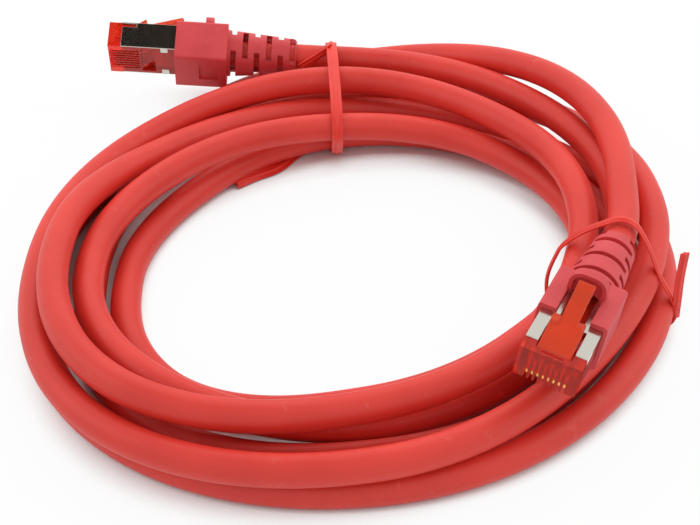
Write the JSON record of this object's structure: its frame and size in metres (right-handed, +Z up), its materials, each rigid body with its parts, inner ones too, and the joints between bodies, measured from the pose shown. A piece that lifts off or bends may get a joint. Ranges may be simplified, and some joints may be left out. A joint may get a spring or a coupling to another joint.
{
  "type": "ethernet patch cable",
  "caption": "Coiled red shielded patch cable held by ties, with a slotted moulded boot and a clear-bodied modular plug with a metal shield and a sprung latch on each end",
  "frame": {"origin": "middle of the object's outline seen from above, on the surface it lies on", "axes": "+Z up from that surface; -Y towards the viewer; +X to the viewer's right"},
  "size_m": [0.1328, 0.1474, 0.0309],
  "materials": {
    "jacket": "soft matte red sheath, smooth",
    "tie": "semi-gloss orange-red strip",
    "plug_clear": "transparent red, polished",
    "contact_gold": "gold plated, bright",
    "shield_plate": "nickel plated sheet, satin",
    "guide_plastic": "natural, matte",
    "ferrule_metal": "tin plated, dull",
    "braid_metal": "woven tinned wire",
    "boot": "moulded, matte with a fine grain",
    "wire_orange": "smooth insulation",
    "wire_green": "smooth insulation",
    "wire_blue": "smooth insulation",
    "wire_brown": "smooth insulation"
  },
  "bodies": {
    "cable": {"cable_coil": "jacket", "far_lead": "jacket", "near_lead": "jacket", "far_tie": "tie", "near_tie": "tie", "far_housing": "plug_clear", "far_contacts": "contact_gold", "far_shield": "shield_plate", "far_guide": "guide_plastic", "far_ferrule": "ferrule_metal", "far_braid": "braid_metal", "far_boot": "boot", "far_orange_pair": "wire_orange", "far_green_pair": "wire_green", "far_blue_pair": "wire_blue", "far_brown_pair": "wire_brown", "near_housing": "plug_clear", "near_contacts": "contact_gold", "near_shield": "shield_plate", "near_guide": "guide_plastic", "near_ferrule": "ferrule_metal", "near_braid": "braid_metal", "near_boot": "boot", "near_orange_pair": "wire_orange", "near_green_pair": "wire_green", "near_blue_pair": "wire_blue", "near_brown_pair": "wire_brown"},
    "far_latch_arm": {"far_latch": "plug_clear"},
    "near_latch_arm": {"near_latch": "plug_clear"}
  },
  "joints": [
    {"name": "far_latch_hinge", "type": "hinge", "parent": "cable", "child": "far_latch_arm", "pos_m": [-0.05531, 0.06604, 0.01526], "axis": [-0.0622, 0.454, -0.8888], "range_deg": [0, 15], "stiffness_Nm_per_rad": 0.05},
    {"name": "near_latch_hinge", "type": "hinge", "parent": "cable", "child": "near_latch_arm", "pos_m": [0.03531, -0.05779, 0.02565], "axis": [-0.8954, 0.4229, 0.1391], "range_deg": [0, 15], "stiffness_Nm_per_rad": 0.05}
  ]
}
